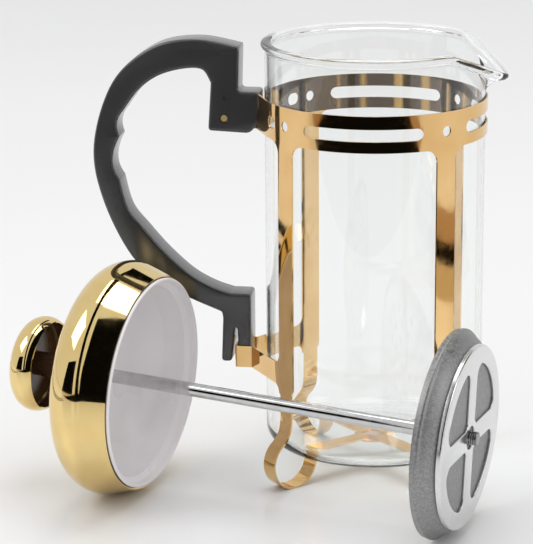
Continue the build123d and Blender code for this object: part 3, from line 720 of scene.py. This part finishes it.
def make_floor():
    """A pale table top with a slight sheen."""
    corners = [(x * FLOOR_HALF, y * FLOOR_HALF, 0) for x, y in ((-1, -1), (1, -1), (1, 1), (-1, 1))]
    mesh = bpy.data.meshes.new("floor")
    mesh.from_pydata(corners, [], [(0, 1, 2, 3)])
    floor = link("floor", mesh)
    material, tree, shader = new_material("pale_floor")
    stops = [(0.3, (0.80, 0.80, 0.805)), (0.7, (0.82, 0.82, 0.825))]
    colour_by(tree, shader, noise(tree, 3, 2), stops)
    shader.inputs["Roughness"].default_value = 0.28
    set_material(floor, material)


def lamp(name, place, target, size, power):
    """A rectangular lamp that the camera doesn't see, turned to its target."""
    data = bpy.data.lights.new(name, "AREA")
    data.shape = "RECTANGLE"
    data.size, data.size_y = size
    data.energy = power
    thing = link(name, data)
    thing.location = place
    thing.rotation_euler = (Vector(target) - Vector(place)).to_track_quat("-Z", "Y").to_euler()
    thing.visible_camera = False


def card(name, corners, faces=None, colour=BLACK):
    """A dull studio card: only mirrors see it."""
    mesh = bpy.data.meshes.new(name)
    mesh.from_pydata(corners, [], faces or [tuple(range(len(corners)))])
    thing = link(name, mesh)
    material, _, shader = new_material(name)
    shader.inputs["Base Color"].default_value = (*colour, 1)
    shader.inputs["Roughness"].default_value = 1.0
    shader.inputs["Specular IOR Level"].default_value = 0.0
    set_material(thing, material)
    thing.visible_camera = False
    thing.visible_shadow = False
    thing.visible_diffuse = False
    thing.visible_transmission = False
    return thing


def floor_card(name, x_from, x_to, y_from, y_to, colour=BLACK):
    """A card just over the floor, clear from below so that the floor doesn't mirror it."""
    corners = [(x_from, y_from, CARD_Z), (x_to, y_from, CARD_Z),
               (x_to, y_to, CARD_Z), (x_from, y_to, CARD_Z)]
    tree = card(name, corners, colour=colour).data.materials[0].node_tree
    clear_where(tree, node(tree, "ShaderNodeNewGeometry").outputs["Backfacing"])


def dark_room():
    """The dark half of the room as a curved wall over the object, with one bright tapering gap.

    The wall is laid out round the plunger's axis: turn is the angle over the axis, from the
    front horizon, and lean is the angle along it, towards the knob."""
    front, along, up = Vector((-0.232, -0.973, 0)), Vector((-0.973, 0.232, 0)), Vector((0, 0, 1))

    def spot(turn, lean):
        turn, lean = radians(turn), radians(lean)
        return ((front * cos(turn) + up * sin(turn)) * cos(lean) + along * sin(lean)) * ROOM_R

    def wall(name, turn_from, turn_to, low_edge, high_edge, rows=30, columns=17):
        corners, faces = [], []
        turns = spread(turn_from, turn_to, rows - 1)
        starts, ends = (spread(low_edge[k], high_edge[k], rows - 1) for k in (0, 1))
        for turn, start, end in zip(turns, starts, ends):
            corners += [spot(turn, lean) for lean in spread(start, end, columns - 1)]
        for i in range(rows - 1):
            for k in range(columns - 1):
                a = i * columns + k
                faces.append((a, a + 1, a + columns + 1, a + columns))
        card(name, corners, faces)

    wall("room_front", -1, 150, (-3.4, -50), (-18, -42))
    wall("room_middle", -1, 145, (-2.6, 7), (3.0, 9))
    wall("room_left", -1, 30, (15, 52), (15, 40))


def make_lights():
    """A white room with three lamps, and the cards and walls that the metal mirrors."""
    world = bpy.data.worlds.new("studio")
    world.use_nodes = True
    background = world.node_tree.nodes["Background"]
    background.inputs["Color"].default_value = (1, 1, 1, 1)
    background.inputs["Strength"].default_value = 0.79
    bpy.context.scene.world = world
    lamp("key", (-1.1, -0.5, 1.3), (0, 0, 0.08), (0.8, 0.8), 6)
    lamp("fill", (1.4, -0.2, 0.9), (0, 0, 0.1), (0.5, 1.0), 3)
    lamp("top", (0.1, 0.3, 1.8), (0, 0, 0.1), (1.0, 1.0), 9)
    # The table ends in front of the object, and the room in front of it is dark.
    table_front, table_end = -3.0, -0.46
    floor_card("table_edge", -0.64, 0.58, table_front, table_end)
    floor_card("brown_left", -0.74, -0.64, table_front, table_end, (0.34, 0.22, 0.12))
    floor_card("brown_front", 0.58, 0.68, table_front, table_end, BROWN)
    dark_room()
    # Dark things to the right and to the left of the object.
    floor_card("strip_right", 0.416, 0.471, -0.40, 0.2)
    floor_card("brown_right", 0.471, 0.56, -0.40, 0.2, BROWN)
    floor_card("shade_right", 0.34, 0.416, -0.40, 0.2, (0.55, 0.48, 0.36))
    floor_card("strip_left_far", -0.50, -0.47, -0.3, 0.2)
    floor_card("strip_left_near", -0.445, -0.425, -0.3, 0.2)


def make_camera():
    """A long lens in front of the object, a little to the right and above."""
    swing, heading, pitch, roll = radians(6.64), radians(9.20), radians(15.37), radians(-0.39)
    distance, height = 1.0896, 0.3917
    sensor_mm, lens_mm, near, far = 36, 165.1, 0.01, 100
    forward = Vector((-sin(heading) * cos(pitch), cos(heading) * cos(pitch), -sin(pitch)))
    right = Vector((cos(heading), sin(heading), 0))
    up = right.cross(forward)
    right, up = right * cos(roll) + up * sin(roll), up * cos(roll) - right * sin(roll)
    data = bpy.data.cameras.new("camera")
    data.sensor_width, data.lens = sensor_mm, lens_mm
    data.clip_start, data.clip_end = near, far
    camera = link("camera", data)
    turn = Matrix((right, up, -forward)).transposed().to_4x4()
    place = Vector((sin(swing) * distance, -cos(swing) * distance, height))
    camera.matrix_world = Matrix.Translation(place) @ turn
    bpy.context.scene.camera = camera


# ---------------------------------------------------------------- build

gold = gold_material("gold_plate", (0.80, 0.59, 0.25), (0.87, 0.67, 0.31))
frame_gold = gold_material("frame_gold", *FRAME_GOLD)
screw_gold = gold_material("screw_gold", (0.86, 0.60, 0.26), (0.92, 0.68, 0.32), 0.40, 0.50)
steel = metal_material("polished_steel", 0.60, 0.68, 0.04, 0.10, 250, 0.02)
satin = metal_material("satin_steel", 0.72, 0.78, 0.17, 0.24, 500, 0.02)
dull = metal_material("dull_steel", 0.22, 0.34, 0.20, 0.32, 500, 0.05)
glass = glass_material()
black = plastic_material("black_plastic", (0.030, 0.030, 0.031), (0.034, 0.034, 0.035),
                         0.25, 0.28, coat=0.7)
white = plastic_material("white_plastic", (0.86, 0.82, 0.85), (0.89, 0.86, 0.88),
                         0.27, 0.31, 600, 0.02, 0.2)
# The knob's core is dark; its brown is painted shade, standing for the gold hollow seen in shadow.
knob_core_shade_brown = plastic_material("brown_plastic", (0.045, 0.022, 0.014), (0.07, 0.035, 0.02), 0.2, 0.35)
cloth = mesh_material()

place = lying_matrix()
adopt(make_beaker(), "beaker", glass, "glass", "beaker")
adopt(make_handle(), "pot_frame", black, "black_plastic", "handle")
adopt(make_cross_plate(place), "filter", satin, "satin_steel", "cross_plate")
adopt(make_cross_rim(place), "filter", satin, "satin_steel")
adopt(make_mesh_screen(place), "filter", cloth, "mesh", "mesh_screen")
adopt(make_spring(place), "filter", steel, "steel", "filter_spring")
adopt(make_rod(place), "plunger", steel, "steel", "plunger_rod")
adopt(make_thread(place), "plunger", dull, "steel")

dress_node("frame_band", band_material())
for name in ("leg_front_left", "leg_front_right", "leg_back_right", "leg_back_left",
             "base_disc", "base_rivet"):
    dress_node(name, frame_gold)
dress_node("clamp_screw", screw_gold)
for name in ("lid_dome", "knob_shell", "rod_guide"):
    dress_node(name, gold)
for name in ("clamp_nut", "guide_nut", "spring_plate"):
    dress_node(name, steel)
dress_node("filter_hub", dull)
dress_node("lid_liner", white)
dress_node("knob_core", knob_core_shade_brown)

make_floor()
make_lights()
make_camera()
bpy.context.scene.view_settings.view_transform = "Standard"
